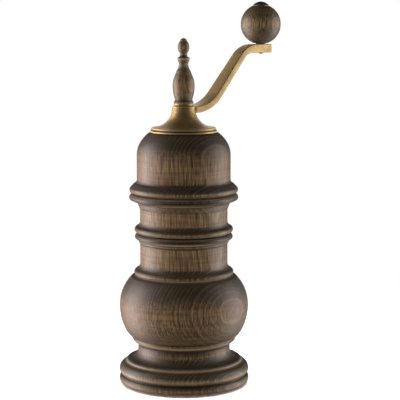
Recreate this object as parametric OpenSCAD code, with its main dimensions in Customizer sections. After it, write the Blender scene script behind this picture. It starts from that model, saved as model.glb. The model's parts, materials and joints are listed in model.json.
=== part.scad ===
// Crank pepper mill: a turned beech body and lid, a cast brass crank on a square drive shaft,
// and a burr set in the foot. Millimetres, +Z up. The origin is the centre of the foot's underside,
// on the drive axis, and the crank points along +X.

/* [Foot and bulb] */
// Radius of the foot at its widest
foot_r = 35.2; // [34.8:0.1:36]
// Radius of the waist between foot and bulb
waist_r = 24.9; // [24.4:0.1:25.4]
// Radius of the bulb at its widest
bulb_r = 34.7; // [34:0.1:35.4]
// Height of the bulb's widest ring
bulb_z = 42.6; // [42:0.1:43.2]

/* [Neck and lid] */
// Radius of the two plain necks
neck_r = 23.5; // [23:0.1:24]
// Height of the groove between the lower pair of beads
low_groove_z = 82; // [81:0.1:83]
// Height where the lid leaves the body
joint_z = 103.4; // [103:0.1:104]
// Radius of the lid's straight wall
lid_r = 25.1; // [24.8:0.1:25.6]
// Height of the lid's flat top
lid_top_z = 135.7; // [135.5:0.1:136]

/* [Crank] */
// Distance from the drive axis to the knob's axis
crank_r = 57; // [55:0.5:60]
// Radius of the disc that covers the lid
disc_r = 17.9; // [17.5:0.1:18.4]
// Height of the hub above the disc's underside
hub_h = 14; // [13.8:0.1:14]
// Height of the arm's end above the hub's top
arm_rise = 31.8; // [30:0.1:33]
// Thickness of the arm's flat end
arm_end_t = 4.7; // [4.2:0.1:5]
// Width of the arm at its end
arm_end_w = 6.4; // [6:0.1:7.5]
// Width of the arm where it leaves the hub
arm_root_w = 9.4; // [8.6:0.1:10]

/* [Knob and finial] */
// Radius of the ball knob
ball_r = 11.1; // [10.6:0.05:11.4]
// Height of the wooden finial
finial_h = 34.4; // [34:0.1:35]
// Radius of the finial's belly
finial_r = 5.85; // [5.6:0.05:6.1]

/* [Grinder] */
// Across flats of the square drive shaft
shaft_s = 6; // [5.8:0.1:6]
// Radius of the peppercorn chamber
chamber_r = 17; // [16.5:0.1:17.2]
// Outer radius of the outer burr
burr_r = 17.45; // [17:0.05:17.45]
// Teeth on the inner burr
inner_teeth = 14; // [12:1:16]
// Teeth on the outer burr
outer_teeth = 18; // [16:1:20]
// Turns of the burr spring
spring_turns = 6; // [4:1:8]

/* [Hidden] */
$fn = 96;
eps = 0.01;
run_fit = 0.06;          // radial clearance of a turning or sliding fit
lid_fit = 0.08;          // radial clearance of the lid's spigot
face_gap = 0.05;         // clearance between faces that turn on each other
wood = "#5f4a35";
brass = "#a98d52";
steel = "#b9bcbf";
dark_steel = "#55585a";

// grinder levels, from the foot's underside
recess_r = 24;           // opening under the burrs
burr_z = 10;             // underside of the outer burr, on the retainer
throat_z = 26;           // top of the outer burr
throat_r = 13;
ledge_z = 38;            // ledge that carries the shaft bridge
retainer_t = 1.6;
retainer_screw_r = 20.6;
bridge_t = 1.5;
bridge_w = 9;
bridge_screw_r = 14.9;
rotor_z = 10.5;          // underside of the inner burr
rotor_top = 23;
spring_wire_r = 0.5;
spring_r = 5.3;          // centre line of the spring's coils
seat_t = 0.8;            // washer above the spring
flange_t = 0.8;          // flange of the bridge bush
seat_top = ledge_z - flange_t - face_gap;

// lid, crank and finial levels
spigot_len = 10;
spigot_z = joint_z - spigot_len;
plate_t = 1.2;
bush_r = 6.5;
bush_len = 12;
washer_r = 11;
washer_t = 0.8;
washer_z = lid_top_z - 0.5;
disc_z = washer_z + washer_t;
hub_top = disc_z + hub_h;
ferrule_t = 1.4;
finial_z = hub_top + ferrule_t;
insert_r = 3.4;
insert_h = 14;
thread_r = 2.5;
thread_top = finial_z + insert_h - 1.6;
arm_top = hub_top + arm_rise;
arm_overhang = 5.8;      // arm beyond the knob's axis
pin_r = 2;
knob_washer_t = 0.45;
ball_flat = 3.8;         // radius of the flat under the ball
cap_r = 4.6;
ball_z = arm_top + knob_washer_t + face_gap + sqrt(pow(ball_r, 2) - pow(ball_flat, 2));
cap_z = ball_z + sqrt(pow(ball_r, 2) - pow(cap_r, 2)) + face_gap;

// Points of an arc about [x, y], from angle a0 to a1 in n steps.
function arc(x, y, r, a0, a1, n = 10) =
    [for (i = [0 : n]) let (a = a0 + (a1 - a0) * i / n) [x + r * cos(a), y + r * sin(a)]];

// A bead whose widest ring has radius r at height z.
function bead(r, z, minor, a0, a1) = arc(r - minor, z, minor, a0, a1, 8);

// Outline of the foot, from its underside up to the waist.
function foot_outline() = concat(
    [[0, 0], [foot_r - 3.3, 0]],
    arc(foot_r - 2.8, 2.9, 2.7, -78, 45),
    [[foot_r - 1.6, 5.2], [foot_r - 1.6, 5.5]],
    bead(foot_r - 0.1, 7.9, 2.4, -55, 0),
    bead(foot_r - 0.1, 7.7, 4.4, 8, 66),
    [[foot_r - 3.85, 12.5], [foot_r - 4, 13], [foot_r - 4.55, 13.55]],
    arc(waist_r + 4.9, 18.9, 4.9, 265, 180)
);

// Outline of the bulb, from the waist up to the collar under the lower neck.
function bulb_outline() = concat(
    [[waist_r, 21], [waist_r + 0.3, 21.8], [waist_r + 1.2, 22.5], [waist_r + 2.2, 23.2]],
    [[waist_r + 2.9, 24.1], [waist_r + 3.2, 25.2], [waist_r + 3, 25.9]],
    arc(bulb_r - 15.3, bulb_z - 6.1, 14, -45, -26, 6),
    arc(bulb_r - 28.9, bulb_z, 28.9, -24, -2, 12),
    arc(bulb_r - 22.7, bulb_z, 22.7, 0, 44.8, 16),
    [[bulb_r - 7.7, bulb_z + 16.1]],
    bead(neck_r + 3.25, bulb_z + 18.2, 1.8, -65, 50),
    arc(neck_r + 3.5, bulb_z + 23.1, 3.5, 250, 180)
);

// Outline of the necks and beads up to the joint with the lid.
function neck_outline() = concat(
    [[neck_r, low_groove_z - 5.7], [neck_r + 0.6, low_groove_z - 5.1]],
    [[neck_r + 0.8, low_groove_z - 4.1]],
    bead(neck_r + 2.8, low_groove_z - 1.9, 1.4, -45, 60),
    [[neck_r + 0.5, low_groove_z]],
    bead(neck_r + 2.95, low_groove_z + 2, 1.75, -50, 50),
    arc(neck_r + 3.1, low_groove_z + 6.4, 3.1, 245, 180),
    [[neck_r, joint_z - 8.4], [neck_r + 0.5, joint_z - 7.4], [neck_r + 0.9, joint_z - 6.5]],
    [[neck_r + 1.3, joint_z - 5]],
    bead(neck_r + 5.75, joint_z - 2.1, 1.75, -42, 50),
    [[neck_r + 3.7, joint_z], [0, joint_z]]
);

// Outline of the lid, from the joint up to its flat top.
function lid_outline() = concat(
    [[0, joint_z], [lid_r + 2.1, joint_z]],
    bead(lid_r + 4, joint_z + 2, 1.9, -50, 45),
    arc(lid_r + 2.5, joint_z + 7.5, 2.5, 250, 180),
    arc(lid_r - 13.5, lid_top_z - 11.95, 13.5, 0, 33, 10),
    arc(lid_r - 18.8, lid_top_z - 15.7, 20, 35, 51, 6),
    [[lid_r - 7.6, lid_top_z], [0, lid_top_z]]
);

// Half outline of the finial: foot, belly, waist, collar and egg-shaped tip.
function finial_outline() = concat(
    [[0, 0], [5.1, 0], [5.3, 0.35], [5.15, 0.75], [4.8, 1.25], [4.62, 1.8]],
    arc(finial_r - 22.5, 9.3, 22.5, -19, 0, 8),
    arc(finial_r - 12.2, 9.3, 12.2, 2, 22, 8),
    arc(8.6, 20.9, 6.1, 216, 180, 6),
    [[2.5, 21.25], [3.05, 22.35]],
    bead(3.35, 23.5, 0.8, -60, 60),
    [[2.1, 24.75], [1.95, 25.6], [2.1, 26.7]],
    arc(-1.6, finial_h - 4.8, 4.7, -28, 42, 10),
    [[1.85, finial_h - 1.15], [1.45, finial_h - 0.6], [0.8, finial_h - 0.15], [0, finial_h]]
);

// A screw standing on z = 0: pan head above, shank below.
module screw(head_r, head_h, shank_r, len) {
    cylinder(r = head_r, h = head_h);
    translate([0, 0, -len]) cylinder(r = shank_r, h = len + eps);
}

// A round part between two heights.
module disc(r, z0, z1) {
    translate([0, 0, z0]) cylinder(r = r, h = z1 - z0);
}

// A square bore or shaft between two heights.
module square_bar(s, z0, z1) {
    translate([-s / 2, -s / 2, z0]) cube([s, s, z1 - z0]);
}

// Children repeated n times round the axis at radius r.
module ring_of(n, r, start = 0) {
    for (i = [0 : n - 1]) rotate([0, 0, start + i * 360 / n]) translate([r, 0, 0]) children();
}

module body() {
    color(wood) difference() {
        rotate_extrude() polygon(concat(foot_outline(), bulb_outline(), neck_outline()));
        disc(recess_r, -1, burr_z);
        disc(burr_r + run_fit, burr_z - 1, throat_z);
        disc(throat_r, throat_z - 1, ledge_z + 1);
        disc(chamber_r, ledge_z, joint_z + 1);
        ring_of(3, retainer_screw_r, 90) disc(1.2, burr_z - 1, burr_z + 7);
        ring_of(2, bridge_screw_r) disc(1, ledge_z - 6, ledge_z + 1);
    }
}

// The outer burr: a conical mouth above a bore that widens downwards, with straight teeth.
module outer_burr() {
    waist_z = burr_z + 10;
    bore_low = 13.2;
    bore_mid = 10.6;
    slope = atan((bore_low - bore_mid) / (waist_z - burr_z));
    color(dark_steel) difference() {
        disc(burr_r, burr_z, throat_z);
        translate([0, 0, burr_z - eps])
            cylinder(r1 = bore_low, r2 = bore_mid, h = waist_z - burr_z + 2 * eps);
        translate([0, 0, waist_z])
            cylinder(r1 = bore_mid, r2 = throat_r, h = throat_z - waist_z + eps);
        ring_of(outer_teeth, bore_low)
            translate([0, 0, burr_z]) rotate([0, -slope, 0]) rotate([0, 0, 45])
                translate([-0.7, -0.7, -1]) cube([1.4, 1.4, 15]);
    }
}

module burr_retainer() {
    color(steel) difference() {
        disc(recess_r - 0.6, burr_z - retainer_t, burr_z);
        disc(14.4, burr_z - retainer_t - 1, burr_z + 1);
        ring_of(3, retainer_screw_r, 90) disc(1.5, burr_z - retainer_t - 1, burr_z + 1);
    }
}

module retainer_screws() {
    color(steel) ring_of(3, retainer_screw_r, 90)
        translate([0, 0, burr_z - retainer_t]) mirror([0, 0, 1]) screw(2.6, 1.7, 1.15, 8);
}

module shaft_bridge() {
    color(steel) difference() {
        union() {
            intersection() {
                disc(chamber_r - 0.3, ledge_z, ledge_z + bridge_t);
                translate([-chamber_r, -bridge_w / 2, ledge_z])
                    cube([2 * chamber_r, bridge_w, bridge_t]);
            }
            disc(8, ledge_z, ledge_z + bridge_t);
        }
        disc(5.4, ledge_z - 1, ledge_z + bridge_t + 1);
        ring_of(2, bridge_screw_r) disc(1.2, ledge_z - 1, ledge_z + bridge_t + 1);
    }
}

module bridge_screws() {
    color(steel) ring_of(2, bridge_screw_r)
        translate([0, 0, ledge_z + bridge_t]) screw(1.7, 1.3, 0.95, 7);
}

module bridge_bush() {
    color("ivory") difference() {
        union() {
            disc(7, ledge_z - flange_t, ledge_z);
            disc(5.4, ledge_z - eps, ledge_z + bridge_t + 1.2);
        }
        disc(shaft_s / sqrt(2) + run_fit, ledge_z - 2, ledge_z + 5);
    }
}

module lid() {
    color(wood) difference() {
        union() {
            rotate_extrude() polygon(lid_outline());
            disc(chamber_r - lid_fit, spigot_z, joint_z + 1);
        }
        disc(5.2, spigot_z - 1, lid_top_z + 1);
        disc(bush_r, washer_z - bush_len, lid_top_z + 1);
        disc(washer_r + 0.1, washer_z, lid_top_z + 1);
        ring_of(3, 11) disc(1, spigot_z - 1, spigot_z + 7);
    }
}

module lid_plate() {
    color(steel) difference() {
        disc(15, spigot_z - plate_t, spigot_z);
        disc(shaft_s / sqrt(2) + 0.3, spigot_z - plate_t - 1, spigot_z + 1);
        ring_of(3, 11) disc(1.2, spigot_z - plate_t - 1, spigot_z + 1);
    }
}

module lid_screws() {
    color(steel) ring_of(3, 11)
        translate([0, 0, spigot_z - plate_t]) mirror([0, 0, 1]) screw(2, 1.3, 0.95, 7);
}

module lid_bush() {
    color(brass) difference() {
        disc(bush_r, washer_z - bush_len, washer_z);
        disc(shaft_s / sqrt(2) + run_fit, washer_z - bush_len - 1, washer_z + 1);
    }
}

module crank_washer() {
    color("dimgray") difference() {
        disc(washer_r, washer_z, disc_z);
        disc(shaft_s / sqrt(2) + 0.4, washer_z - 1, disc_z + 1);
    }
}

// Outline of the arm in its own plane: level from the hub, up the slope, level at the knob.
module arm_side() {
    arm_t = 3.5;
    slope_a = 48.5;
    low_x = 6;
    low_r = 24;
    low_z = hub_top - 3.8;
    knob_z = arm_top - arm_end_t;
    under_r = 7;
    over_r = 16;
    // foot of the slope, under and over the arm
    under = [low_x + low_r * sin(slope_a), low_z + low_r * (1 - cos(slope_a))];
    over = [low_x + (low_r - arm_t) * sin(slope_a),
            low_z + low_r - (low_r - arm_t) * cos(slope_a)];
    // centres of the two bends at the slope's head
    under_x = under[0] + (knob_z - under_r * (1 - cos(slope_a)) - under[1]) / tan(slope_a)
        + under_r * sin(slope_a);
    over_x = over[0] + (arm_top - over_r * (1 - cos(slope_a)) - over[1]) / tan(slope_a)
        + over_r * sin(slope_a);
    polygon(concat(
        [[0, low_z]],
        arc(low_x, low_z + low_r, low_r, 270, 270 + slope_a, 14),
        arc(under_x, knob_z - under_r, under_r, 90 + slope_a, 90, 8),
        [[crank_r + arm_overhang, knob_z], [crank_r + arm_overhang, arm_top]],
        arc(over_x, arm_top - over_r, over_r, 90, 90 + slope_a, 10),
        arc(low_x, low_z + low_r, low_r - arm_t, 270 + slope_a, 270, 14),
        [[0, low_z + arm_t]]
    ));
}

// Outline of the arm seen from above: it narrows from the hub to the knob.
module arm_plan() {
    wide_x = 16;
    narrow_x = 54;
    end_x = crank_r + arm_overhang;
    polygon([
        [0, -arm_root_w / 2], [wide_x, -arm_root_w / 2], [narrow_x, -arm_end_w / 2],
        [end_x, -arm_end_w / 2], [end_x, arm_end_w / 2], [narrow_x, arm_end_w / 2],
        [wide_x, arm_root_w / 2], [0, arm_root_w / 2]
    ]);
}

module crank_arm() {
    trumpet_r = hub_h - 3.4;
    neck = 6.1;
    color(brass) difference() {
        union() {
            rotate_extrude() polygon(concat(
                [[0, disc_z], [disc_r, disc_z], [disc_r, disc_z + 0.95]],
                [[disc_r - 0.6, disc_z + 1.1], [disc_r - 0.6, disc_z + 2.4]],
                arc(neck + trumpet_r, disc_z + 2.6 + trumpet_r, trumpet_r, 270, 180, 14),
                [[neck, hub_top - 0.4], [neck - 0.3, hub_top], [0, hub_top]]
            ));
            intersection() {
                rotate([90, 0, 0]) translate([0, 0, -arm_root_w])
                    linear_extrude(2 * arm_root_w) arm_side();
                translate([0, 0, disc_z]) linear_extrude(hub_h + arm_rise + 5) arm_plan();
            }
        }
        square_bar(shaft_s + 0.2, disc_z - 1, hub_top + 1);
        translate([crank_r, 0, 0]) disc(pin_r, arm_top - arm_end_t - 1, arm_top + 1);
    }
}

// The knob's pin: a small tip under the arm, a plain shank, and its top inside the cap.
module knob_pin() {
    tip_h = 0.7;
    color(dark_steel) translate([crank_r, 0, 0]) {
        disc(pin_r, arm_top - arm_end_t - eps, cap_z + 0.9);
        translate([0, 0, arm_top - arm_end_t - tip_h])
            cylinder(r1 = 0.9, r2 = 1.3, h = tip_h);
    }
}

module knob_washer() {
    color(dark_steel) translate([crank_r, 0, 0]) difference() {
        disc(2.75, arm_top, arm_top + knob_washer_t);
        disc(pin_r, arm_top - 1, arm_top + 2);
    }
}

module knob_cap() {
    rise = 2.3;
    dome_r = (pow(cap_r, 2) + pow(rise, 2)) / (2 * rise);
    color(dark_steel) translate([crank_r, 0, cap_z]) difference() {
        intersection() {
            translate([0, 0, rise - dome_r]) sphere(r = dome_r);
            disc(cap_r - 0.1, 0, 3);
        }
        disc(pin_r, -1, 0.9);
    }
}

module knob_ball() {
    color(wood) translate([crank_r, 0, ball_z]) difference() {
        sphere(r = ball_r);
        disc(pin_r + run_fit, -ball_r - 1, ball_r + 1);
        disc(ball_r, -ball_r - 2, -sqrt(pow(ball_r, 2) - pow(ball_flat, 2)));
        disc(ball_r, sqrt(pow(ball_r, 2) - pow(cap_r, 2)), ball_r + 1);
    }
}

module finial() {
    color(wood) difference() {
        translate([0, 0, finial_z]) rotate_extrude() polygon(finial_outline());
        disc(insert_r, finial_z - 1, finial_z + insert_h);
    }
}

module finial_insert() {
    color(brass) difference() {
        disc(insert_r, finial_z, finial_z + insert_h - 0.3);
        disc(thread_r + run_fit, finial_z - 1, finial_z + insert_h);
    }
}

module finial_ferrule() {
    color(brass) difference() {
        union() {
            disc(4.95, hub_top + face_gap, hub_top + 0.5);
            disc(5.25, hub_top + 0.45, finial_z);
        }
        disc(thread_r + 0.3, hub_top - 1, finial_z + 1);
    }
}

module spring_seat() {
    color(steel) difference() {
        disc(6.8, seat_top - seat_t, seat_top);
        square_bar(shaft_s + 0.2, seat_top - seat_t - 1, seat_top + 1);
    }
}

// A coil swept as one closed tube of 8-sided rings.
module burr_spring() {
    low = rotor_top + spring_wire_r;
    high = seat_top - seat_t - spring_wire_r;
    per_turn = 20;
    rings = spring_turns * per_turn;
    sides = 8;
    points = [for (i = [0 : rings], k = [0 : sides - 1])
        let (a = i * 360 / per_turn, b = k * 360 / sides, r = spring_r + spring_wire_r * cos(b))
        [r * cos(a), r * sin(a), low + (high - low) * i / rings + spring_wire_r * sin(b)]];
    walls = [for (i = [0 : rings - 1], k = [0 : sides - 1])
        let (a = i * sides + k, b = i * sides + (k + 1) % sides)
        [a, b, b + sides, a + sides]];
    color(steel) polyhedron(points = points, faces = concat(
        [[for (k = [sides - 1 : -1 : 0]) k]], walls,
        [[for (k = [0 : sides - 1]) rings * sides + k]]
    ));
}

module drive_shaft() {
    color(steel) difference() {
        union() {
            square_bar(shaft_s, rotor_z, hub_top - 1);
            disc(thread_r, hub_top - 1 - eps, thread_top);
        }
        disc(1.5, rotor_z - 1, rotor_z + 8);
    }
}

// The inner burr: a cone that widens downwards, with feed grooves cut along its side.
module inner_burr() {
    low_r = 12.4;
    top_r = 6.6;
    slope = atan((low_r - top_r) / (rotor_top - rotor_z));
    color(dark_steel) difference() {
        translate([0, 0, rotor_z]) cylinder(r1 = low_r, r2 = top_r, h = rotor_top - rotor_z);
        square_bar(shaft_s + 0.04, rotor_z - 1, rotor_top + 1);
        ring_of(inner_teeth, low_r)
            translate([0, 0, rotor_z]) rotate([0, -slope - 3, 0]) rotate([0, 0, 45])
                translate([-0.8, -0.8, -1]) cube([1.6, 1.6, 18]);
    }
}

module rotor_washer() {
    color(steel) difference() {
        disc(5.5, rotor_z - 0.8, rotor_z);
        disc(1.6, rotor_z - 2, rotor_z + 1);
    }
}

module rotor_screw() {
    color(steel) translate([0, 0, rotor_z - 0.8]) mirror([0, 0, 1]) screw(3, 1.5, 1.45, 8);
}

body();
outer_burr();
burr_retainer();
retainer_screws();
shaft_bridge();
bridge_screws();
bridge_bush();
lid();
lid_plate();
lid_screws();
lid_bush();
crank_washer();
crank_arm();
knob_pin();
knob_washer();
knob_cap();
knob_ball();
finial();
finial_insert();
finial_ferrule();
spring_seat();
burr_spring();
drive_shaft();
inner_burr();
rotor_washer();
rotor_screw();
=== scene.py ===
"""Looks of the crank pepper mill: turned, stained beech and antique brass around the CAD frame."""
import json
import math

import bmesh
import bpy
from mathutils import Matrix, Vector


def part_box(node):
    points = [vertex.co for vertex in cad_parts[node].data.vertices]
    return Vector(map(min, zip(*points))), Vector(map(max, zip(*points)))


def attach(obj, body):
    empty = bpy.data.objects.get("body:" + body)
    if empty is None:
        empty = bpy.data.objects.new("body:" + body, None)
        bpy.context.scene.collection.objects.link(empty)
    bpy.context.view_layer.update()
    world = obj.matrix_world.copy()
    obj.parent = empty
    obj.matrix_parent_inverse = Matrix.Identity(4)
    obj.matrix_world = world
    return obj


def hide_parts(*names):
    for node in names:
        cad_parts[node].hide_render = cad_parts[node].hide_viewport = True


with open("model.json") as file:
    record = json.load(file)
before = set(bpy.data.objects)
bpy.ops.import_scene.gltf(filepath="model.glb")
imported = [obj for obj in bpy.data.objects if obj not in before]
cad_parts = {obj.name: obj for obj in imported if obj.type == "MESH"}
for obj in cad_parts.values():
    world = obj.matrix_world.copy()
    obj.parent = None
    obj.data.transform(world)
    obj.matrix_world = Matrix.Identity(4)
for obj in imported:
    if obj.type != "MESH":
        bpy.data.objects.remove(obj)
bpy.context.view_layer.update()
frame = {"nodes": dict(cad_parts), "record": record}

MM = 0.001                      # outlines below are in millimetres, meshes in metres
TINY = 1e-6                     # a length or radius under this counts as none


def top(node):
    """Height of a CAD node's top, in millimetres."""
    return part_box(node)[1].z / MM


def bottom(node):
    """Height of a CAD node's underside, in millimetres."""
    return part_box(node)[0].z / MM


# ---------------------------------------------------------------- driving dimensions, millimetres
FOOT_R = 35.2
WAIST_R = 24.9
BULB_R = 34.7
BULB_Z = 42.6
NECK_R = 23.5
LOW_GROOVE_Z = 82
JOINT_Z = top("body")
LID_R = 25.1
LID_TOP = top("lid")
LID_FIT = 0.08                  # radial clearance of the lid's spigot
RUN_FIT = 0.06                  # radial clearance of a turning fit
SHAFT_S = 6                     # across flats of the drive shaft

CHAMBER_R = 17
LEDGE_Z = 38                    # ledge that carries the shaft bridge
THROAT_R = 13
THROAT_Z = 26                   # top of the outer burr
BURR_HOLE_R = 17.51             # just clears the outer burr
BURR_Z = 10                     # underside of the outer burr
RECESS_R = 24                   # opening under the burrs

WASHER_HOLE_R = 11.1            # recess in the lid for the crank washer
BUSH_HOLE_R = 6.5
BUSH_LEN = 12
LID_BORE_R = 5.2

DISC_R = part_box("crank_arm")[1].y / MM
DISC_Z = bottom("crank_arm")
HUB_H = 14
HUB_TOP = DISC_Z + HUB_H
CRANK_R = (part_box("knob_ball")[0].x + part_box("knob_ball")[1].x) / 2 / MM

BALL_R = (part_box("knob_ball")[1].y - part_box("knob_ball")[0].y) / 2 / MM
BALL_FLAT = 3.8                 # radius of the ball's lower flat
PIN_R = 2
CAP_R = 4.6
CAP_Z = bottom("knob_cap")
BALL_Z = bottom("knob_ball") + math.sqrt(BALL_R ** 2 - BALL_FLAT ** 2)
FINIAL_Z = bottom("finial")
FINIAL_H = top("finial") - FINIAL_Z
FINIAL_R = 5.85
INSERT_R = 3.4
INSERT_H = 14


# ---------------------------------------------------------------- node graphs
class Graph:
    """A material's or world's node tree, with short calls that add a node and join its inputs."""

    def __init__(self, owner):
        owner.use_nodes = True
        self.owner = owner
        self.tree = owner.node_tree
        self.tree.nodes.clear()

    def add(self, kind, inputs=None, **settings):
        """A node of this kind; each input takes a value, or the socket that feeds it."""
        node = self.tree.nodes.new("ShaderNode" + kind)
        for name, value in settings.items():
            setattr(node, name, value)
        for key, value in (inputs or {}).items():
            socket = node.inputs[key]
            if isinstance(value, bpy.types.NodeSocket):
                self.tree.links.new(value, socket)
            else:
                socket.default_value = value
        return node

    def millimetres(self):
        """The piece's own coordinates, in millimetres."""
        coords = self.add("TexCoord")
        scale = {0: coords.outputs["Object"], "Scale": 1 / MM}
        return self.add("VectorMath", scale, operation="SCALE").outputs[0]

    def stretch(self, vector, x, y, z):
        return self.add("VectorMath", {0: vector, 1: (x, y, z)}, operation="MULTIPLY").outputs[0]

    def plus(self, a, b):
        return self.add("VectorMath", {0: a, 1: b}, operation="ADD").outputs[0]

    def calc(self, operation, a, b=0.0):
        return self.add("Math", {0: a, 1: b}, operation=operation).outputs[0]

    def step(self, value, low, high, to_low=0.0, to_high=1.0, how="SMOOTHSTEP"):
        """value from low to high becomes to_low to to_high, smoothly and clamped."""
        inputs = {"Value": value, 1: low, 2: high, 3: to_low, 4: to_high}
        return self.add("MapRange", inputs, interpolation_type=how).outputs[0]

    def slope(self, value, low, high, to_low, to_high):
        """As step, in a straight line."""
        return self.step(value, low, high, to_low, to_high, "LINEAR")

    def noise(self, vector, detail=2.0, rough=0.5):
        inputs = {"Vector": vector, "Scale": 1.0, "Detail": detail, "Roughness": rough}
        return self.add("TexNoise", inputs)

    def grain(self, at, across, along, detail=2.0, rough=0.5):
        """Noise of this many cells a millimetre across the grain and along it."""
        return self.noise(self.stretch(at, across, across, along), detail, rough).outputs[0]

    def ramp(self, value, stops):
        node = self.add("ValToRGB", {"Fac": value})
        elements = node.color_ramp.elements
        while len(elements) < len(stops):
            elements.new(0.5)
        for element, (place, colour) in zip(elements, stops):
            element.position = place
            element.color = (*colour, 1)
        return node.outputs["Color"]

    def mix(self, amount, a, b, blend="MIX"):
        """Colour a, going over to colour b by amount."""
        inputs = {0: amount}
        for socket, colour in ((6, a), (7, b)):
            joined = isinstance(colour, bpy.types.NodeSocket)
            inputs[socket] = colour if joined else (*colour, 1)
        return self.add("Mix", inputs, data_type="RGBA", blend_type=blend).outputs[2]

    def attribute(self, name):
        return self.add("Attribute", attribute_name=name).outputs["Fac"]

    def bump(self, height, distance, strength):
        inputs = {"Height": height, "Distance": distance, "Strength": strength}
        return self.add("Bump", inputs).outputs["Normal"]

    def finish(self, shader, kind="Material"):
        """Makes shader the surface of the material or world, and returns that."""
        self.add("Output" + kind, {"Surface": shader.outputs[0]})
        return self.owner

    def principled(self, inputs):
        return self.finish(self.add("BsdfPrincipled", inputs))


def grey(value):
    return (value, value, value)


def srgb(r, g, b):
    """A colour given as 0 to 255 screen values, as the linear values that shaders take."""
    return tuple(((c / 255 + 0.055) / 1.055) ** 2.4 for c in (r, g, b))


# ---------------------------------------------------------------- camera, light and floor
CRANK_AWAY = math.radians(42)   # the crank points this far behind the picture plane
CAM_BACK = 0.7576               # camera to drive axis, along the floor, in metres
CAM_SIDE = 0.0087
CAM_HEIGHT = 0.2007
CAM_PITCH = math.radians(7.61)
CAM_LENS = 128.25               # on a sensor 36 wide

AHEAD = Vector((math.sin(CRANK_AWAY), math.cos(CRANK_AWAY), 0))
RIGHT = Vector((math.cos(CRANK_AWAY), -math.sin(CRANK_AWAY), 0))


def make_camera():
    """Looks at the mill from the front and a little above, with the crank to the right."""
    data = bpy.data.cameras.new("camera")
    data.lens = CAM_LENS
    data.sensor_width = 36
    data.clip_start = 0.01
    camera = bpy.data.objects.new("camera", data)
    camera.location = RIGHT * CAM_SIDE - AHEAD * CAM_BACK + Vector((0, 0, CAM_HEIGHT))
    camera.rotation_euler = (math.pi / 2 - CAM_PITCH, 0, -CRANK_AWAY)
    bpy.context.scene.collection.objects.link(camera)
    bpy.context.scene.camera = camera


def make_panel(name, across, ahead, height, size, power, aim_height, colour=(1, 1, 1)):
    """A soft rectangular light, across and ahead metres from the axis as the camera sees it."""
    data = bpy.data.lights.new(name, "AREA")
    data.shape = "RECTANGLE"
    data.size, data.size_y = size
    data.energy = power
    data.color = colour
    light = bpy.data.objects.new(name, data)
    light.location = RIGHT * across + AHEAD * ahead + Vector((0, 0, height))
    aim = Vector((0, 0, aim_height)) - light.location
    light.rotation_euler = aim.to_track_quat("-Z", "Y").to_euler()
    bpy.context.scene.collection.objects.link(light)
    return light


def light_only(light, objects):
    """Keeps a light to these objects."""
    lit = bpy.data.collections.new("lit_by_" + light.name)
    for obj in objects:
        lit.objects.link(obj)
    light.light_linking.receiver_collection = lit


def make_backdrop_glow(brass):
    """The white behind the mill, mirrored in the level faces of its brass."""
    glow = make_panel("backdrop_glow", across=0, ahead=1.1, height=0.45, size=(2, 0.7),
                      power=11, aim_height=0.15, colour=(1, 0.92, 0.92))
    glow.visible_camera = False
    light_only(glow, brass)


def make_lights(floor):
    """Tall panels left and right, a fill in front that isn't mirrored, a wash on the floor."""
    make_panel("panel_left", across=-0.74, ahead=0.14, height=0, size=(0.5, 1.1),
               power=14.5, aim_height=0, colour=(1, 0.88, 0.86))
    make_panel("panel_right", across=0.76, ahead=0.18, height=0, size=(0.45, 1.1),
               power=8.5, aim_height=0, colour=(1, 0.92, 0.86))
    front = make_panel("fill_front", across=-0.15, ahead=-1.1, height=0.2, size=(0.6, 0.5),
                       power=7, aim_height=0.1)
    front.visible_glossy = False
    wash = make_panel("floor_wash", across=0, ahead=0, height=1.2, size=(1.6, 1.6),
                      power=45, aim_height=0)
    light_only(wash, [floor])


def make_world():
    """White to the camera; to everything else a dim grey room, darker overhead.

    A little light also comes from below. It is stronger behind the mill, and only that
    part of it is mirrored.
    """
    world = bpy.data.worlds.new("studio")
    bpy.context.scene.world = world
    g = Graph(world)
    path = g.add("LightPath")
    look = g.add("TexCoord").outputs["Generated"]
    up = g.add("SeparateXYZ", {0: look}).outputs["Z"]
    behind = g.add("VectorMath", {0: look, 1: AHEAD}, operation="DOT_PRODUCT").outputs["Value"]
    backdrop = g.slope(behind, -0.1, 0.9, 0.02, 0.16)
    ceiling = g.slope(up, 0.15, 0.7, 1, 0.12)
    strip = g.slope(behind, 0, 0.9, 0, 2.6)
    reached = g.calc("MAXIMUM", strip, path.outputs["Is Diffuse Ray"])
    below = g.calc("MULTIPLY", g.slope(up, -0.1, -0.5, 0, 0.24), reached)
    strength = g.add("Math", {0: backdrop, 1: ceiling, 2: below}, operation="MULTIPLY_ADD")
    room = g.add("Background", {"Color": (1, 1, 1, 1), "Strength": strength.outputs[0]})
    white = g.add("Background", {"Color": (1, 1, 1, 1), "Strength": 1})
    seen = {0: path.outputs["Is Camera Ray"], 1: room.outputs[0], 2: white.outputs[0]}
    g.finish(g.add("MixShader", seen), "World")


# ---------------------------------------------------------------- materials
GRAIN_TURN = math.radians(275.6)        # direction that the growth rings' flat face looks in
GRAIN_LEAN = 0.06                       # slope of the rings against the drive axis
PITH_BACK = 120                         # the pith lies this far behind the drive axis
RING_STEP = 1.55                        # mean width of a growth ring
RING_START = 0.6                        # moves all the rings outwards


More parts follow.
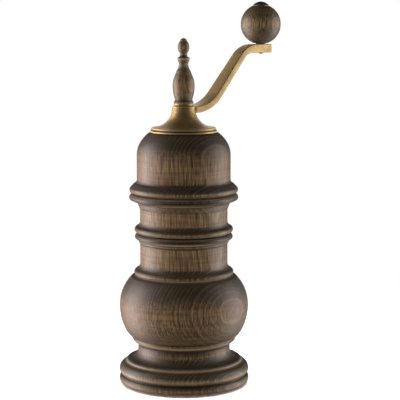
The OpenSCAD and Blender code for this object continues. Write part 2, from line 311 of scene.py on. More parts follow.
def growth_rings(g, at):
    """0 to 1 through each year's growth, for wood whose pith lies outside the blank."""
    wander = g.noise(g.stretch(at, 0.021, 0.021, 0.009), 2).outputs["Color"]
    wander = g.stretch(g.plus(wander, (-0.5, -0.5, -0.5)), 3, 3, 0)
    pith = (math.cos(GRAIN_TURN) * PITH_BACK, math.sin(GRAIN_TURN) * PITH_BACK, 0)
    from_pith = g.stretch(g.plus(g.plus(at, wander), pith), 1, 1, 0)
    reach = g.add("VectorMath", {0: from_pith}, operation="LENGTH").outputs["Value"]
    height = g.add("SeparateXYZ", {0: at}).outputs["Z"]
    reach = g.calc("ADD", reach, g.calc("MULTIPLY", height, GRAIN_LEAN))
    season = g.add("TexNoise", {"W": g.calc("MULTIPLY", reach, 0.22), "Scale": 1.0, "Detail": 1.0},
                   noise_dimensions="1D").outputs[0]
    ring = g.calc("ADD", g.calc("DIVIDE", g.calc("ADD", reach, RING_START), RING_STEP),
                  g.calc("MULTIPLY", season, 1.2))
    return g.calc("FRACT", ring)


def stained_wall(g, at, fibre, streak, tooling, line, figure):
    """The stain on an upright face, as deep as the wood's fibres, streaks and rings take it."""
    thread = g.step(g.grain(at, 3.1, 0.13, 1), 0.42, 0.6)
    tone = 0.055
    for part, share in ((fibre, 0.4), (thread, -0.25), (streak, 0.24), (tooling, 0.2 * figure),
                        (line, 0.1)):
        tone = g.calc("ADD", tone, g.calc("MULTIPLY", part, share))
    return g.ramp(tone, [(0.02, srgb(44, 34, 20)), (0.25, srgb(82, 64, 40)),
                         (0.48, srgb(112, 88, 58)), (0.75, srgb(142, 116, 82))])


def end_stain_and_shade(g, streak, up_stain_and_shade, down_stain_and_shade):
    """Darker, greyer end grain on what faces up or down: more stain there, and painted shade."""
    normal = g.add("SeparateXYZ", {0: g.add("TexCoord").outputs["Normal"]}).outputs["Z"]
    uneven = g.calc("MULTIPLY", g.calc("SUBTRACT", streak, 0.5), 0.2)
    facing_up = g.step(g.calc("ADD", normal, uneven), 0.0, 0.48, 0.0, up_stain_and_shade)
    facing_down = g.step(g.calc("SUBTRACT", uneven, normal), 0.02, 0.42, 0.0, down_stain_and_shade)
    return g.calc("ADD", facing_up, facing_down)


def drawn_rings(g, at, colour, ring, line, end_stain_shade, figure):
    """colour with each year's dark late wood and the pale line after it."""
    late = g.ramp(ring, [(0.72, grey(0)), (0.95, grey(1)), (1.0, grey(0.3))])
    faint = g.step(g.grain(at, 0.11, 0.07), 0.35, 0.62, 0.45, 1.0)
    faint = g.calc("MULTIPLY", faint, figure)
    dark = g.calc("MULTIPLY", g.calc("MULTIPLY", late, faint), 0.4)
    colour = g.mix(dark, colour, srgb(36, 30, 20))
    pale = g.calc("ADD", 0.44, g.calc("MULTIPLY", end_stain_shade, -0.1))
    pale = g.calc("MULTIPLY", line, g.calc("MULTIPLY", pale, faint))
    return g.mix(pale, colour, srgb(134, 114, 88))


def flecked(g, at, colour, pore):
    """colour with beech's short ray flecks and its pores."""
    cell = g.add("TexVoronoi", {"Vector": g.stretch(at, 1.25, 1.25, 0.36), "Scale": 1.0})
    fleck = g.step(cell.outputs["Distance"], 0.34, 0.2)
    seen = g.step(g.add("SeparateColor", {0: cell.outputs["Color"]}).outputs[0], 0.55, 0.7)
    fleck = g.calc("MULTIPLY", fleck, seen)
    colour = g.mix(g.calc("MULTIPLY", fleck, 0.34), colour, srgb(56, 42, 26))
    return g.mix(g.calc("MULTIPLY", pore, 0.36), colour, srgb(34, 27, 17))


def stained_beech(name, up_stain_and_shade, down_stain_and_shade, tint, figure=1.0):
    """Beech stained dark: up_stain_and_shade and down_stain_and_shade darken what faces up and what
    faces down, as end-grain stain and painted shade.

    figure scales the growth rings and the tool marks, which are fainter on small work.
    """
    g = Graph(bpy.data.materials.new(name))
    at = g.millimetres()
    ring = growth_rings(g, at)
    line = g.ramp(ring, [(0, grey(0.1)), (0.08, grey(1)), (0.18, grey(0.8)), (0.3, grey(0.1)),
                         (0.8, grey(0)), (0.95, grey(0.02))])
    fibre = g.step(g.grain(at, 2.3, 0.07, 3, 0.6), 0.34, 0.66)
    streak = g.grain(at, 0.3, 0.02)
    patch = g.grain(at, 0.05, 0.03)
    tooling = g.step(g.grain(at, 0.03, 1.7, 2, 0.6), 0.35, 0.65)
    pore = g.step(g.grain(at, 3.6, 0.42, 1), 0.6, 0.68)

    wall = stained_wall(g, at, fibre, streak, tooling, line, figure)
    wall = g.mix(g.step(patch, 0.4, 0.6, 0.1, 0.9), wall, (1.06, 0.94, 0.92), "MULTIPLY")
    wall = g.mix(1.0, wall, tint, "MULTIPLY")
    # what faces up or down turns darker and greyer: end-grain stain, with painted shade
    end_stain_shade = end_stain_and_shade(g, streak, up_stain_and_shade, down_stain_and_shade)
    end = g.mix(g.calc("MULTIPLY", fibre, 0.5), srgb(30, 28, 20), srgb(52, 47, 34))
    colour = g.mix(end_stain_shade, wall, end)
    colour = drawn_rings(g, at, colour, ring, line, end_stain_shade, figure)
    colour = flecked(g, at, colour, pore)

    # rubbed arrises lightened, with a painted highlight on them; dirt and painted shade darken the
    # creases; bare wood inside
    wear_and_highlight = g.calc("MULTIPLY", g.attribute("wear_and_highlight"), g.step(patch, 0.2, 0.6, 0.5, 0.9))
    colour = g.mix(wear_and_highlight, colour, srgb(190, 166, 134))
    colour = g.mix(g.attribute("grime_and_shade"), colour, srgb(18, 17, 12))
    bare = g.mix(0.72, g.mix(1.0, wall, (2.2, 2.1, 2.0), "MULTIPLY"), srgb(196, 164, 122))
    colour = g.mix(g.attribute("bare"), colour, bare)

    # tool marks run round the work; the fibre stands a little proud of the pores
    height = g.calc("ADD", g.calc("MULTIPLY", fibre, 0.5), g.calc("MULTIPLY", tooling, 0.5))
    height = g.calc("SUBTRACT", height, g.calc("MULTIPLY", pore, 0.6))
    rough = g.step(g.calc("ADD", fibre, g.calc("MULTIPLY", pore, 0.5)), 0.0, 1.3, 0.44, 0.6)
    rough = g.calc("ADD", rough, g.calc("MULTIPLY", g.attribute("bare"), 0.2))
    return g.principled({"Base Color": colour, "Roughness": rough, "IOR": 1.5,
                         "Specular IOR Level": 0.5,
                         "Normal": g.bump(height, 0.00004, 0.7)})


def metal(name, dark, mid, bright, rough, mottle=0.12, metallic=1.0):
    """Metal with mottled patina, fine specks, dirt in the creases and rubbed edges.

    rough is the roughness of its bright parts and of its dark ones.
    """
    g = Graph(bpy.data.materials.new(name))
    at = g.millimetres()
    cloud = g.grain(at, mottle, mottle, 5, 0.6)
    speck = g.grain(at, 1.5, 1.5, 4, 0.65)
    tone = g.calc("ADD", g.calc("MULTIPLY", cloud, 0.7), g.calc("MULTIPLY", speck, 0.3))
    colour = g.ramp(tone, [(0.3, dark), (0.52, mid), (0.72, bright)])
    colour = g.mix(g.attribute("wear_and_highlight"), colour, bright)
    colour = g.mix(g.attribute("grime_and_shade"), colour, tuple(c * 0.3 for c in dark))
    roughness = g.step(tone, 0.3, 0.75, rough[1], rough[0])
    roughness = g.calc("ADD", roughness, g.calc("MULTIPLY", g.attribute("grime_and_shade"), 0.2))
    return g.principled({"Base Color": colour, "Metallic": metallic, "Roughness": roughness,
                         "Normal": g.bump(speck, 0.00003, 0.22)})


def coated(name, dark, light, rough, grain=2.5, bump=0.00002, metallic=0.0):
    """Lacquer, nylon or fibre: an even colour, clouded a little, with a fine surface.

    grain is the surface's fineness, in bumps a millimetre, and bump their height in metres.
    """
    g = Graph(bpy.data.materials.new(name))
    at = g.millimetres()
    cloud = g.grain(at, 0.25, 0.25, 3)
    fine = g.grain(at, grain, grain, 3)
    colour = g.mix(g.step(cloud, 0.3, 0.7), dark, light)
    # rubbed arrises lighter, with a painted highlight
    colour = g.mix(g.calc("MULTIPLY", g.attribute("wear_and_highlight"), 0.5), colour,
                   tuple(min(1, c * 2.5 + 0.02) for c in light))
    roughness = g.step(fine, 0.3, 0.7, rough[0], rough[1])
    return g.principled({"Base Color": colour, "Roughness": roughness, "Metallic": metallic,
                         "Normal": g.bump(fine, bump, 0.5)})


# the two numbers after the name darken what faces up and down: end-grain stain with painted shade
BEECH = stained_beech("stained_beech", 0.9, 0.36, (1.04, 1.08, 1.1))
SMALL_BEECH = stained_beech("stained_beech_small", 0.6, 0.6, (1.42, 1.62, 1.72), 0.4)
BRASS = metal("antique_brass", srgb(101, 82, 49), srgb(139, 118, 76), srgb(175, 151, 108),
              (0.47, 0.6), 0.1, metallic=0.72)
ZINC = metal("zinc_steel", srgb(112, 114, 116), srgb(140, 142, 144), srgb(172, 173, 174),
             (0.62, 0.74), 0.2)
BURR = metal("burr_steel", srgb(70, 70, 72), srgb(98, 98, 100), srgb(150, 150, 152), (0.35, 0.5))
WIRE = metal("spring_wire", srgb(120, 120, 122), srgb(160, 160, 162), srgb(200, 200, 202),
             (0.22, 0.34))
LACQUER = coated("dark_lacquer", srgb(62, 64, 56), srgb(86, 88, 78), (0.4, 0.5), metallic=0.3)
NYLON = coated("nylon", srgb(176, 170, 154), srgb(192, 186, 170), (0.38, 0.5))
FIBRE = coated("vulcanised_fibre", srgb(30, 26, 22), srgb(44, 37, 32), (0.6, 0.75), 1.2, 0.00005)

SLOT_MATERIALS = {
    "beech_dark": BEECH, "brass_antique": BRASS, "steel_zinc": ZINC, "burr_steel": BURR,
    "spring_steel": WIRE, "dark_metal": LACQUER, "nylon": NYLON, "fibre": FIBRE,
}


# ---------------------------------------------------------------- outlines, millimetres
def arc(x, y, r, a0, a1, n=16):
    """Points of an arc about (x, y), from angle a0 to a1 in degrees."""
    angles = [math.radians(a0 + (a1 - a0) * i / n) for i in range(n + 1)]
    return [(x + r * math.cos(a), y + r * math.sin(a)) for a in angles]


def bead(r, z, minor, a0, a1):
    """A bead whose widest ring has radius r at height z."""
    return arc(r - minor, z, minor, a0, a1, 14)


def foot_outline():
    """The foot, from its underside over two beads and in to the waist."""
    return (
        [(RECESS_R, 0), (FOOT_R - 3.3, 0)]
        + arc(FOOT_R - 2.8, 2.9, 2.7, -78, 45)
        + [(FOOT_R - 1.6, 5.2), (FOOT_R - 1.6, 5.5)]
        + bead(FOOT_R - 0.1, 7.9, 2.4, -55, 0)
        + bead(FOOT_R - 0.1, 7.7, 4.4, 8, 66)
        + [(FOOT_R - 3.85, 12.5), (FOOT_R - 4, 13), (FOOT_R - 4.55, 13.55)]
        + arc(WAIST_R + 4.9, 18.9, 4.9, 265, 180)
    )


def bulb_outline():
    """From the waist over a small bead, the bulb and its collar to the foot of the neck."""
    return (
        [(WAIST_R, 21), (WAIST_R + 0.3, 21.8), (WAIST_R + 1.2, 22.5), (WAIST_R + 2.2, 23.2)]
        + [(WAIST_R + 2.9, 24.1), (WAIST_R + 3.2, 25.2), (WAIST_R + 3, 25.9)]
        + arc(BULB_R - 15.3, BULB_Z - 6.1, 14, -45, -26, 8)
        + arc(BULB_R - 28.9, BULB_Z, 28.9, -24, -2, 18)
        + arc(BULB_R - 22.7, BULB_Z, 22.7, 0, 44.8, 26)
        + [(BULB_R - 7.7, BULB_Z + 16.1)]
        + bead(NECK_R + 3.25, BULB_Z + 18.2, 1.8, -65, 50)
        + arc(NECK_R + 3.5, BULB_Z + 23.1, 3.5, 250, 180)
    )


def neck_outline():
    """The neck with its pair of beads, and the lower bead of the pair at the lid's joint."""
    return (
        [(NECK_R, LOW_GROOVE_Z - 5.7), (NECK_R + 0.6, LOW_GROOVE_Z - 5.1)]
        + [(NECK_R + 0.8, LOW_GROOVE_Z - 4.1)]
        + bead(NECK_R + 2.8, LOW_GROOVE_Z - 1.9, 1.4, -45, 60)
        + [(NECK_R + 0.5, LOW_GROOVE_Z)]
        + bead(NECK_R + 2.95, LOW_GROOVE_Z + 2, 1.75, -50, 50)
        + arc(NECK_R + 3.1, LOW_GROOVE_Z + 6.4, 3.1, 245, 180)
        + [(NECK_R, JOINT_Z - 8.4), (NECK_R + 0.5, JOINT_Z - 7.4), (NECK_R + 0.9, JOINT_Z - 6.5)]
        + [(NECK_R + 1.3, JOINT_Z - 5)]
        + bead(NECK_R + 5.75, JOINT_Z - 2.1, 1.75, -42, 50)
        + [(NECK_R + 3.7, JOINT_Z)]
    )


def body_bore():
    """The inside of the body, from the chamber's mouth down to the foot's recess."""
    return [
        (CHAMBER_R, JOINT_Z), (CHAMBER_R, LEDGE_Z), (THROAT_R, LEDGE_Z), (THROAT_R, THROAT_Z),
        (BURR_HOLE_R, THROAT_Z), (BURR_HOLE_R, BURR_Z), (RECESS_R, BURR_Z),
    ]


def lid_outline():
    """The lid's spigot, bead and dome, and its recess and holes for washer, bush and shaft."""
    spigot = bottom("lid")
    bush_top = DISC_Z - 0.8
    return (
        [(LID_BORE_R, spigot), (CHAMBER_R - LID_FIT, spigot), (CHAMBER_R - LID_FIT, JOINT_Z)]
        + [(LID_R + 2.1, JOINT_Z)]
        + bead(LID_R + 4, JOINT_Z + 2, 1.9, -50, 45)
        + arc(LID_R + 2.5, JOINT_Z + 7.5, 2.5, 250, 180)
        + arc(LID_R - 13.5, LID_TOP - 11.95, 13.5, 0, 33, 18)
        + arc(LID_R - 18.8, LID_TOP - 15.7, 20, 35, 51, 10)
        + [(LID_R - 7.6, LID_TOP), (WASHER_HOLE_R, LID_TOP), (WASHER_HOLE_R, bush_top)]
        + [(BUSH_HOLE_R, bush_top), (BUSH_HOLE_R, bush_top - BUSH_LEN)]
        + [(LID_BORE_R, bush_top - BUSH_LEN)]
    )


def finial_outline():
    """The finial's foot, belly, collar and tip, and the hole for its insert."""
    points = (
        [(INSERT_R, 0), (5.1, 0), (5.3, 0.35), (5.15, 0.75), (4.8, 1.25), (4.62, 1.8)]
        + arc(FINIAL_R - 22.5, 9.3, 22.5, -19, 0, 14)
        + arc(FINIAL_R - 12.2, 9.3, 12.2, 2, 22, 14)
        + arc(8.6, 20.9, 6.1, 216, 180, 8)
        + [(2.5, 21.25), (3.05, 22.35)]
        + bead(3.35, 23.5, 0.8, -60, 60)
        + [(2.1, 24.75), (1.95, 25.6), (2.1, 26.7)]
        + arc(-1.6, FINIAL_H - 4.8, 4.7, -28, 42, 14)
        + [(1.85, FINIAL_H - 1.15), (1.45, FINIAL_H - 0.6), (0.8, FINIAL_H - 0.15)]
        + [(0, FINIAL_H)]
        + [(0, INSERT_H), (INSERT_R, INSERT_H)]
    )
    return [(r, z + FINIAL_Z) for r, z in points]


def ball_outline():
    """The ball between its two flats, and the hole for the pin."""
    low = math.degrees(math.acos(BALL_FLAT / BALL_R))
    high = math.degrees(math.acos(CAP_R / BALL_R))
    hole = PIN_R + RUN_FIT
    outer = arc(0, BALL_Z, BALL_R, -low, high, 60)
    return [(hole, outer[0][1])] + outer + [(hole, outer[-1][1])]


# ---------------------------------------------------------------- meshes
def skin(bm, rings):
    """Joins each ring of corners to the next with faces. A ring may be a single point."""
    for low, high in zip(rings, rings[1:]):
        sides = max(len(low), len(high))
        if sides == 1:
            continue
        for k in range(sides):
            n = (k + 1) % sides
            corners = [low[k % len(low)], low[n % len(low)], high[n % len(high)],
                       high[k % len(high)]]
            bm.faces.new(list(dict.fromkeys(corners)))


def new_object(name, bm):
    """Puts the mesh built in bm into the scene as an object."""
    mesh = bpy.data.meshes.new(name)
    bm.to_mesh(mesh)
    bm.free()
    obj = bpy.data.objects.new(name, mesh)
    bpy.context.scene.collection.objects.link(obj)
    return obj


def new_solid(name, bm):
    """As new_object, with every face turned outwards."""
    bmesh.ops.recalc_face_normals(bm, faces=bm.faces)
    return new_object(name, bm)


# ---------------------------------------------------------------- turned pieces
def softened(points, radius):
    """A closed outline with every corner rounded that turns more than 14 degrees."""
    least_turn, steps = math.radians(14), 4
    out = []
    count = len(points)
    for i, p in enumerate(points):
        a, b, c = Vector(points[i - 1]), Vector(p), Vector(points[(i + 1) % count])
        before, after = a - b, c - b
        if before.length < TINY or after.length < TINY:
            continue
        turn = math.pi - before.angle(after)
        if turn < least_turn or b.x < TINY:
            out.append(tuple(b))
            continue
        cut = min(radius * math.tan(turn / 2) * 1.2, 0.4 * before.length, 0.4 * after.length)
        start = b + before.normalized() * cut
        end = b + after.normalized() * cut
        for k in range(steps + 1):
            t = k / steps
            out.append(tuple(start * (1 - t) ** 2 + b * 2 * t * (1 - t) + end * t ** 2))
    return out


def spaced(points, step):
    """The same closed outline, with no stretch longer than step."""
    out = []
    for a, b in zip(points, points[1:] + points[:1]):
        pieces = max(1, math.ceil(math.dist(a, b) / step))
        if a[0] < TINY and b[0] < TINY:
            pieces = 1
        out += [(a[0] + (b[0] - a[0]) * i / pieces, a[1] + (b[1] - a[1]) * i / pieces)
                for i in range(pieces)]
    return out


def bends_near(points, reach):
    """Radians that a closed outline turns within reach of each point: above 0 at a bulge."""
    count = len(points)
    area = sum(a[0] * b[1] - b[0] * a[1] for a, b in zip(points, points[1:] + points[:1]))
    turns = []
    for i, p in enumerate(points):
        a, c = points[i - 1], points[(i + 1) % count]
        u, v = (p[0] - a[0], p[1] - a[1]), (c[0] - p[0], c[1] - p[1])
        turn = math.atan2(u[0] * v[1] - u[1] * v[0], u[0] * v[0] + u[1] * v[1])
        turns.append(math.copysign(1, area) * turn)
    return [sum(turn for q, turn in zip(points, turns) if math.dist(p, q) < reach)
            for p in points]


def ramped(value, low, high):
    """0 to 1 as value goes from low to high, smoothly."""
    t = min(1, max(0, (value - low) / (high - low)))
    return t * t * (3 - 2 * t)


def spread(points, values, reach):
    """Each value fades into its neighbours along the outline over about reach millimetres."""
    strong = [(p, v) for p, v in zip(points, values) if v > 0.05]
    return [max([v * math.exp(-math.dist(p, q) / reach) for q, v in strong], default=0)
            for p in points]


def ringed(points, marks):
    """The strongest share that (radius, height, reach, share) marks leave at each point."""
    return [max([share * math.exp(-(math.dist(p, (r, z)) / reach) ** 2)
                 for r, z, reach, share in marks], default=0) for p in points]


def wear_highlight_dirt_shade(points, light, dark):
    """Wear with a painted highlight, and dirt with painted shade, at each point of a turned
    outline, from 0 to 1: on arrises, in creases and hollows, and at the given rings.
    """
    wear_highlight = [0.45 * ramped(b, 0.55, 1.1) for b in bends_near(points, 0.4)]
    dirt_shade = spread(points, [0.8 * ramped(-b, 0.3, 0.9) for b in bends_near(points, 0.6)], 0.22)
    hollows = [0.5 * ramped(-b, 0.8, 1.4) for b in bends_near(points, 1)]
    lights, darks = ringed(points, light), ringed(points, dark)
    wear_highlight = [max(pair) for pair in zip(wear_highlight, lights)]
    dirt_shade = [max(d, h) * (1 - l) for d, h, l in zip(dirt_shade, hollows, lights)]
    dirt_shade = [max(pair) for pair in zip(dirt_shade, darks)]
    return wear_highlight, dirt_shade


def turned(name, outline, round_off=0.25, step=0.8, sides=160, centre=(0, 0), bare=None,
           light=(), dark=()):
    """A piece turned round a vertical axis from a closed outline of (radius, height) points.

    Its creases are darkened with dirt and painted shade, and its sharp arrises lightened as
    rubbed, with a painted highlight. light and dark are further rings of painted highlight and
    of dark lines with painted shade: (radius, height, reach, share). bare says whether the point at
    a radius and height is unstained wood.
    """
    points = spaced(softened(outline, round_off), step)
    bm = bmesh.new()
    layers = [bm.verts.layers.float.new(key) for key in ("wear_and_highlight", "grime_and_shade", "bare")]
    rings = []
    for (r, z), wear_highlight, dirt_shade in zip(points, *wear_highlight_dirt_shade(points, light, dark)):
        inside = 1.0 if bare and bare(r, z) else 0.0
        spots = 1 if r < TINY else sides
        ring = []
        for k in range(spots):
            a = 2 * math.pi * k / sides
            v = bm.verts.new(((centre[0] + r * math.cos(a)) * MM,
                              (centre[1] + r * math.sin(a)) * MM, z * MM))
            for layer, value in zip(layers, (wear_highlight * (1 - inside), dirt_shade, inside)):
                v[layer] = value
            ring.append(v)
        rings.append(ring)
    skin(bm, rings + rings[:1])
    obj = new_solid(name, bm)
    obj.data.shade_smooth()
    return obj


def dress(obj, material, slot, body, *nodes):
    """Gives a new piece its material, the body it rides on and the nodes it replaces; slot is not
    used.
    """
    obj.data.materials.clear()
    obj.data.materials.append(material)
    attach(obj, body)
    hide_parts(*nodes)


def make_body():
    """The body, bare inside. Its marks run from the lid's joint down to the foot."""

    def inside(r, z):
        return r < RECESS_R + 0.05 and (r < BURR_HOLE_R + 0.5 or z < BURR_Z + 2)

    # light rings: rubbed arrises and fillets, with a painted highlight along them
    light = [
        (NECK_R + 4.8, JOINT_Z - 0.9, 0.45, 0.6), (NECK_R + 2.2, JOINT_Z - 4.6, 0.8, 0.6),
        (NECK_R + 2.6, LOW_GROOVE_Z + 0.6, 0.5, 0.35),
        (NECK_R + 1.8, LOW_GROOVE_Z - 0.8, 0.4, 0.65),
        (NECK_R + 1.5, LOW_GROOVE_Z - 3.6, 0.6, 0.7),
        (NECK_R + 2.6, BULB_Z + 16.9, 0.6, 0.8), (WAIST_R + 2.6, 23.6, 0.65, 0.6),
        (FOOT_R - 4.1, 12.8, 0.9, 0.45), (FOOT_R - 0.3, 7.6, 0.9, 0.3),
    ]
    # dark rings: dark lines at the widest of two beads; the rest is painted shade in coves,
    # creases, the waist and the foot's cove
    dark = [
        (NECK_R + 5.7, JOINT_Z - 2.5, 0.75, 1), (NECK_R + 1.5, LOW_GROOVE_Z + 3.3, 1.2, 0.5),
        (NECK_R + 2.8, LOW_GROOVE_Z - 2, 0.7, 1), (BULB_R - 6.4, BULB_Z + 15.8, 0.45, 0.8),
        (WAIST_R + 3.1, 25.6, 0.35, 0.4), (WAIST_R + 0.5, 21.2, 1.8, 0.8),
        (FOOT_R - 6.5, 15, 2.4, 0.4), (FOOT_R - 2.6, 11.5, 0.5, 0.5),
        (FOOT_R - 1.6, 5.35, 0.5, 0.8),
    ]
    outline = foot_outline() + bulb_outline() + neck_outline() + body_bore()
    obj = turned("turned_body", outline, bare=inside, light=light, dark=dark)
    dress(obj, BEECH, "beech_dark", "base", "body")


def make_lid():
    """The lid, with a bare spigot and bore."""

    def inside(r, z):
        return r < CHAMBER_R + 0.5 and z < JOINT_Z + 14

    # light ring: rubbed arris at the joint with a painted highlight; dark rings: painted shade on
    # the dome's shoulder and in the cove over the bead
    light = [(LID_R + 2.4, JOINT_Z + 0.3, 0.4, 0.4)]
    dark = [(LID_R - 0.2, LID_TOP - 9.5, 5, 0.35), (LID_R + 1.9, JOINT_Z + 3.9, 1.3, 0.62)]
    obj = turned("turned_lid", lid_outline(), bare=inside, light=light, dark=dark)
    dress(obj, BEECH, "beech_dark", "lid", "lid")


def make_finial():
    """The finial, darker round its foot."""
    dark = [(5, FINIAL_Z + 0.9, 1.5, 0.45)]
    obj = turned("turned_finial", finial_outline(), 0.14, 0.5, 96, dark=dark)
    dress(obj, SMALL_BEECH, "beech_dark", "finial", "finial")


def make_ball():
    """The knob's ball, which spins on its pin."""
    obj = turned("ball_knob", ball_outline(), 0.25, 0.6, 96, (CRANK_R, 0))
    dress(obj, SMALL_BEECH, "beech_dark", "knob", "knob_ball")


# ---------------------------------------------------------------- crank
def hub_outline():
    """The disc, the step on it and the trumpet that rises to the hub's neck."""
    neck, trumpet = 6.1, HUB_H - 3.4
    return (
        [(0, DISC_Z), (DISC_R, DISC_Z), (DISC_R, DISC_Z + 0.95)]
        + [(DISC_R - 0.6, DISC_Z + 1.1), (DISC_R - 0.6, DISC_Z + 2.4)]
        + arc(neck + trumpet, DISC_Z + 2.6 + trumpet, trumpet, 270, 180, 24)
        + [(neck, HUB_TOP - 0.4), (neck - 0.3, HUB_TOP), (0, HUB_TOP)]
    )


ARM_TOP = top("crank_arm")
ARM_ROOT_W = 9.4
ARM_END_W = 6.4
ARM_END_T = 4.7
ARM_T = 3.5                     # thickness of the arm's slope
ARM_SLOPE = 48.5                # degrees
ARM_LOW_X = 6                   # centre of the low bend
ARM_LOW_R = 24
ARM_UNDER_R = 7                 # upper bend, along the underside
ARM_OVER_R = 16                 # and along the top
ARM_OVERHANG = 5.8              # past the knob's pin
ARM_NARROW = 16, 54             # x where the arm starts and stops narrowing


def arm_edges():
    """Matching points along the underside and the top of the arm, from hub to end, as (x, z)."""
    slope = math.radians(ARM_SLOPE)
    low_z = HUB_TOP - 3.8
    knob_z = ARM_TOP - ARM_END_T
    end_x = CRANK_R + ARM_OVERHANG
    lift = 1 - math.cos(slope)
    foot = ARM_LOW_R * math.sin(slope) + ARM_LOW_X, low_z + ARM_LOW_R * lift
    inner = ARM_LOW_R - ARM_T
    foot_over = (inner * math.sin(slope) + ARM_LOW_X,
                 low_z + ARM_LOW_R - inner * math.cos(slope))

    def head(start, level, radius):
        """Where along x the upper bend of this radius, level at the top, is centred."""
        run = (level - radius * lift - start[1]) / math.tan(slope)
        return start[0] + run + radius * math.sin(slope)

    under_x = head(foot, knob_z, ARM_UNDER_R)
    over_x = head(foot_over, ARM_TOP, ARM_OVER_R)
    slope_steps, end_steps = 24, 12
    under = arc(ARM_LOW_X, low_z + ARM_LOW_R, ARM_LOW_R, 270, 270 + ARM_SLOPE, 24)
    over = arc(ARM_LOW_X, low_z + ARM_LOW_R, inner, 270, 270 + ARM_SLOPE, 24)
    bend_under = arc(under_x, knob_z - ARM_UNDER_R, ARM_UNDER_R, 90 + ARM_SLOPE, 90, 18)
    bend_over = arc(over_x, ARM_TOP - ARM_OVER_R, ARM_OVER_R, 90 + ARM_SLOPE, 90, 18)

    def line(a, b, n):
        return [(a[0] + (b[0] - a[0]) * i / n, a[1] + (b[1] - a[1]) * i / n) for i in range(1, n)]

    under = ([(2, low_z)] + under + line(under[-1], bend_under[0], slope_steps)
             + bend_under + line(bend_under[-1], (end_x, knob_z), end_steps) + [(end_x, knob_z)])
    over = ([(2, low_z + ARM_T)] + over + line(over[-1], bend_over[0], slope_steps)
            + bend_over + line(bend_over[-1], (end_x, ARM_TOP), end_steps) + [(end_x, ARM_TOP)])
    return under, over


def arm_width(x):
    """The arm is widest at the hub and narrows evenly towards the knob."""
    start, stop = ARM_NARROW
    t = min(1, max(0, (x - start) / (stop - start)))
    return ARM_ROOT_W + (ARM_END_W - ARM_ROOT_W) * t


def rounded_box(half_a, half_b, r):
    """Points round a rectangle with rounded corners, about its centre."""
    corners = [(half_a - r, half_b - r, 0), (r - half_a, half_b - r, 90),
               (r - half_a, r - half_b, 180), (half_a - r, r - half_b, 270)]
    return [p for x, y, a in corners for p in arc(x, y, r, a, a + 90, 5)]


def make_arm():
    """The arm as a swept bar with eased edges and an eased end."""
    under, over = arm_edges()
    bm = bmesh.new()
    rings = []
    last = len(under) - 1
    # index along the edges, shift along the arm, shrink: the last four round the end off
    stations = [(i, 0, 0) for i in range(last)]
    stations += [(last, -0.5, 0), (last, -0.25, 0.07), (last, -0.07, 0.25), (last, 0, 0.5)]
    for i, shift, shrink in stations:
        a, b = Vector(under[i]), Vector(over[i])
        up = (b - a).normalized()
        middle = (a + b) / 2 + Vector((shift, 0))
        half_t = (b - a).length / 2 - shrink
        half_w = arm_width(middle.x) / 2 - shrink
        loop = rounded_box(half_t, half_w, max(0.1, 0.5 - shrink))
        rings.append([bm.verts.new(((middle.x + up.x * s) * MM, w * MM,
                                    (middle.y + up.y * s) * MM)) for s, w in loop])
    skin(bm, rings)
    bm.faces.new(rings[0])
    bm.faces.new(rings[-1])
    return new_solid("arm", bm)


def bar_cutter(x, z0, z1, half, sides):
    """An upright bar that bores a hole: square for 4 sides, round for many."""
    bm = bmesh.new()
    radius = half / math.cos(math.pi / sides)
    spin = [math.pi / sides + 2 * math.pi * k / sides for k in range(sides)]
    low, high = [[bm.verts.new(((x + radius * math.cos(a)) * MM, radius * math.sin(a) * MM, z * MM))
                  for a in spin] for z in (z0, z1)]
    skin(bm, [low, high])
    bm.faces.new(low)
    bm.faces.new(high)
    return new_solid("cutter", bm)


def combine(obj, other, operation):
    """Joins or cuts obj with other, and removes other."""
    cut = obj.modifiers.new("cut", "BOOLEAN")
    cut.operation = operation
    cut.solver = "EXACT"
    cut.object = other
    bpy.context.view_layer.update()
    evaluated = obj.evaluated_get(bpy.context.evaluated_depsgraph_get())
    mesh = bpy.data.meshes.new_from_object(evaluated)
    obj.modifiers.clear()
    old, obj.data = obj.data, mesh
    mesh.name = obj.name
    bpy.data.meshes.remove(old)
    bpy.data.objects.remove(other)


def mark_edges(obj):
    """Writes wear and grime from how sharply the surface bends at each point."""
    mesh = obj.data
    bm = bmesh.new()
    bm.from_mesh(mesh)
    wear_highlight = bm.verts.layers.float.get("wear_and_highlight") or bm.verts.layers.float.new("wear_and_highlight")
    dirt_shade = bm.verts.layers.float.get("grime_and_shade") or bm.verts.layers.float.new("grime_and_shade")
    bm.normal_update()
    for v in bm.verts:
        bend = 0.0
        for e in v.link_edges:
            other = e.other_vert(v)
            length = max(e.calc_length() / MM, 0.05)
            bend = max(bend, (v.normal - other.normal).dot((v.co - other.co) / MM) / length ** 2,
                       key=abs)
        v[wear_highlight] = ramped(bend, 0.5, 2.6)
        v[dirt_shade] = ramped(-bend, 0.35, 2)
    bm.to_mesh(mesh)
    bm.free()


def make_crank():
    """The hub and disc joined to the arm, with the shaft's and the pin's holes."""
    hub = turned("crank", hub_outline(), 0.22, 0.9, 128)
    combine(hub, make_arm(), "UNION")
    combine(hub, bar_cutter(0, DISC_Z - 1, HUB_TOP + 1, SHAFT_S / 2 + 0.1, 4), "DIFFERENCE")
    combine(hub, bar_cutter(CRANK_R, ARM_TOP - ARM_END_T - 1, ARM_TOP + 1, PIN_R, 48),
            "DIFFERENCE")
    hub.data.shade_smooth()
    hub.data.set_sharp_from_angle(angle=math.radians(38))
    mark_edges(hub)
    dress(hub, BRASS, "brass_antique", "crank", "crank_arm")
    return hub


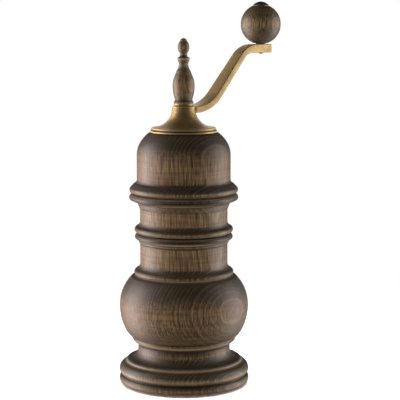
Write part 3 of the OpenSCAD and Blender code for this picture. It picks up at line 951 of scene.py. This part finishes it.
def make_pin():
    """The pin, peened under the arm, and the collar that the ball turns on."""
    under, shank, end = ARM_TOP - ARM_END_T, PIN_R - 0.02, CAP_Z + 0.88
    outline = (
        [(0, under - 0.7), (0.6, under - 0.66), (0.95, under - 0.5), (1.2, under - 0.2)]
        + [(1.3, under), (shank, under), (shank, end), (0, end)]
    )
    obj = turned("pin_of_knob", outline, 0.12, 0.8, 64, (CRANK_R, 0))
    dress(obj, LACQUER, "dark_metal", "crank", "knob_pin")
    low, high, rim = bottom("knob_washer"), top("knob_washer"), 2.75
    outline = [(PIN_R, low), (rim, low), (rim, high), (PIN_R, high)]
    obj = turned("collar_of_knob", outline, 0.12, 0.5, 64, (CRANK_R, 0))
    dress(obj, LACQUER, "dark_metal", "crank", "knob_washer")


def make_cap():
    """The domed cap over the pin's end."""
    rise, edge, seat = 2.3, CAP_R - 0.1, CAP_Z + 0.9
    dome = (CAP_R ** 2 + rise ** 2) / (2 * rise)
    spring = math.degrees(math.acos(edge / dome))
    outline = (
        [(0, seat), (PIN_R, seat), (PIN_R, CAP_Z), (edge, CAP_Z)]
        + arc(0, CAP_Z + rise - dome, dome, spring, 90, 20)
    )
    outline[-1] = (0, CAP_Z + rise)
    obj = turned("cap_of_knob", outline, 0.14, 0.5, 64, (CRANK_R, 0))
    dress(obj, LACQUER, "dark_metal", "crank", "knob_cap")


def make_ferrule():
    """Two brass discs under the finial, the upper one a little wider."""
    hole, lower_r, upper_r = 2.8, 4.95, 5.25
    low, step = bottom("finial_ferrule"), HUB_TOP + 0.5
    outline = [(hole, low), (lower_r, low), (lower_r, step), (upper_r, step),
               (upper_r, FINIAL_Z), (hole, FINIAL_Z)]
    obj = turned("ferrule", outline, 0.14, 0.5, 96)
    dress(obj, BRASS, "brass_antique", "finial", "finial_ferrule")


# ---------------------------------------------------------------- carried-over nodes and floor
def dress_frame():
    """Every CAD node gets the procedural material of its slot."""
    slots = {p["node"]: p["material_slot"] for p in frame["record"]["subparts"]}
    for name, obj in frame["nodes"].items():
        obj.data.materials.clear()
        obj.data.materials.append(SLOT_MATERIALS[slots[name]])


def make_floor():
    """A pale round floor that fades into the white behind it."""
    radius, drop = 0.3, 0.0003
    bm = bmesh.new()
    bmesh.ops.create_circle(bm, cap_ends=True, radius=radius, segments=96)
    floor = new_object("floor", bm)
    floor.location.z = -drop
    g = Graph(bpy.data.materials.new("pale_floor"))
    at = g.add("TexCoord").outputs["Object"]
    away = g.add("VectorMath", {0: at}, operation="LENGTH").outputs["Value"]
    fade = g.step(away, 0.05, radius * 0.95)
    paint = g.add("BsdfDiffuse", {"Color": (0.9, 0.9, 0.89, 1)})
    clear = g.add("BsdfTransparent")
    both = g.add("MixShader", {0: fade, 1: paint.outputs[0], 2: clear.outputs[0]})
    floor.data.materials.append(g.finish(both))
    floor.visible_glossy = False
    floor.visible_diffuse = False
    floor.visible_shadow = False
    return floor


make_camera()
make_world()
make_lights(make_floor())
dress_frame()
make_body()
make_lid()
make_finial()
make_ball()
crank = make_crank()
make_backdrop_glow([crank])
make_pin()
make_cap()
make_ferrule()
bpy.context.scene.view_settings.view_transform = "Standard"
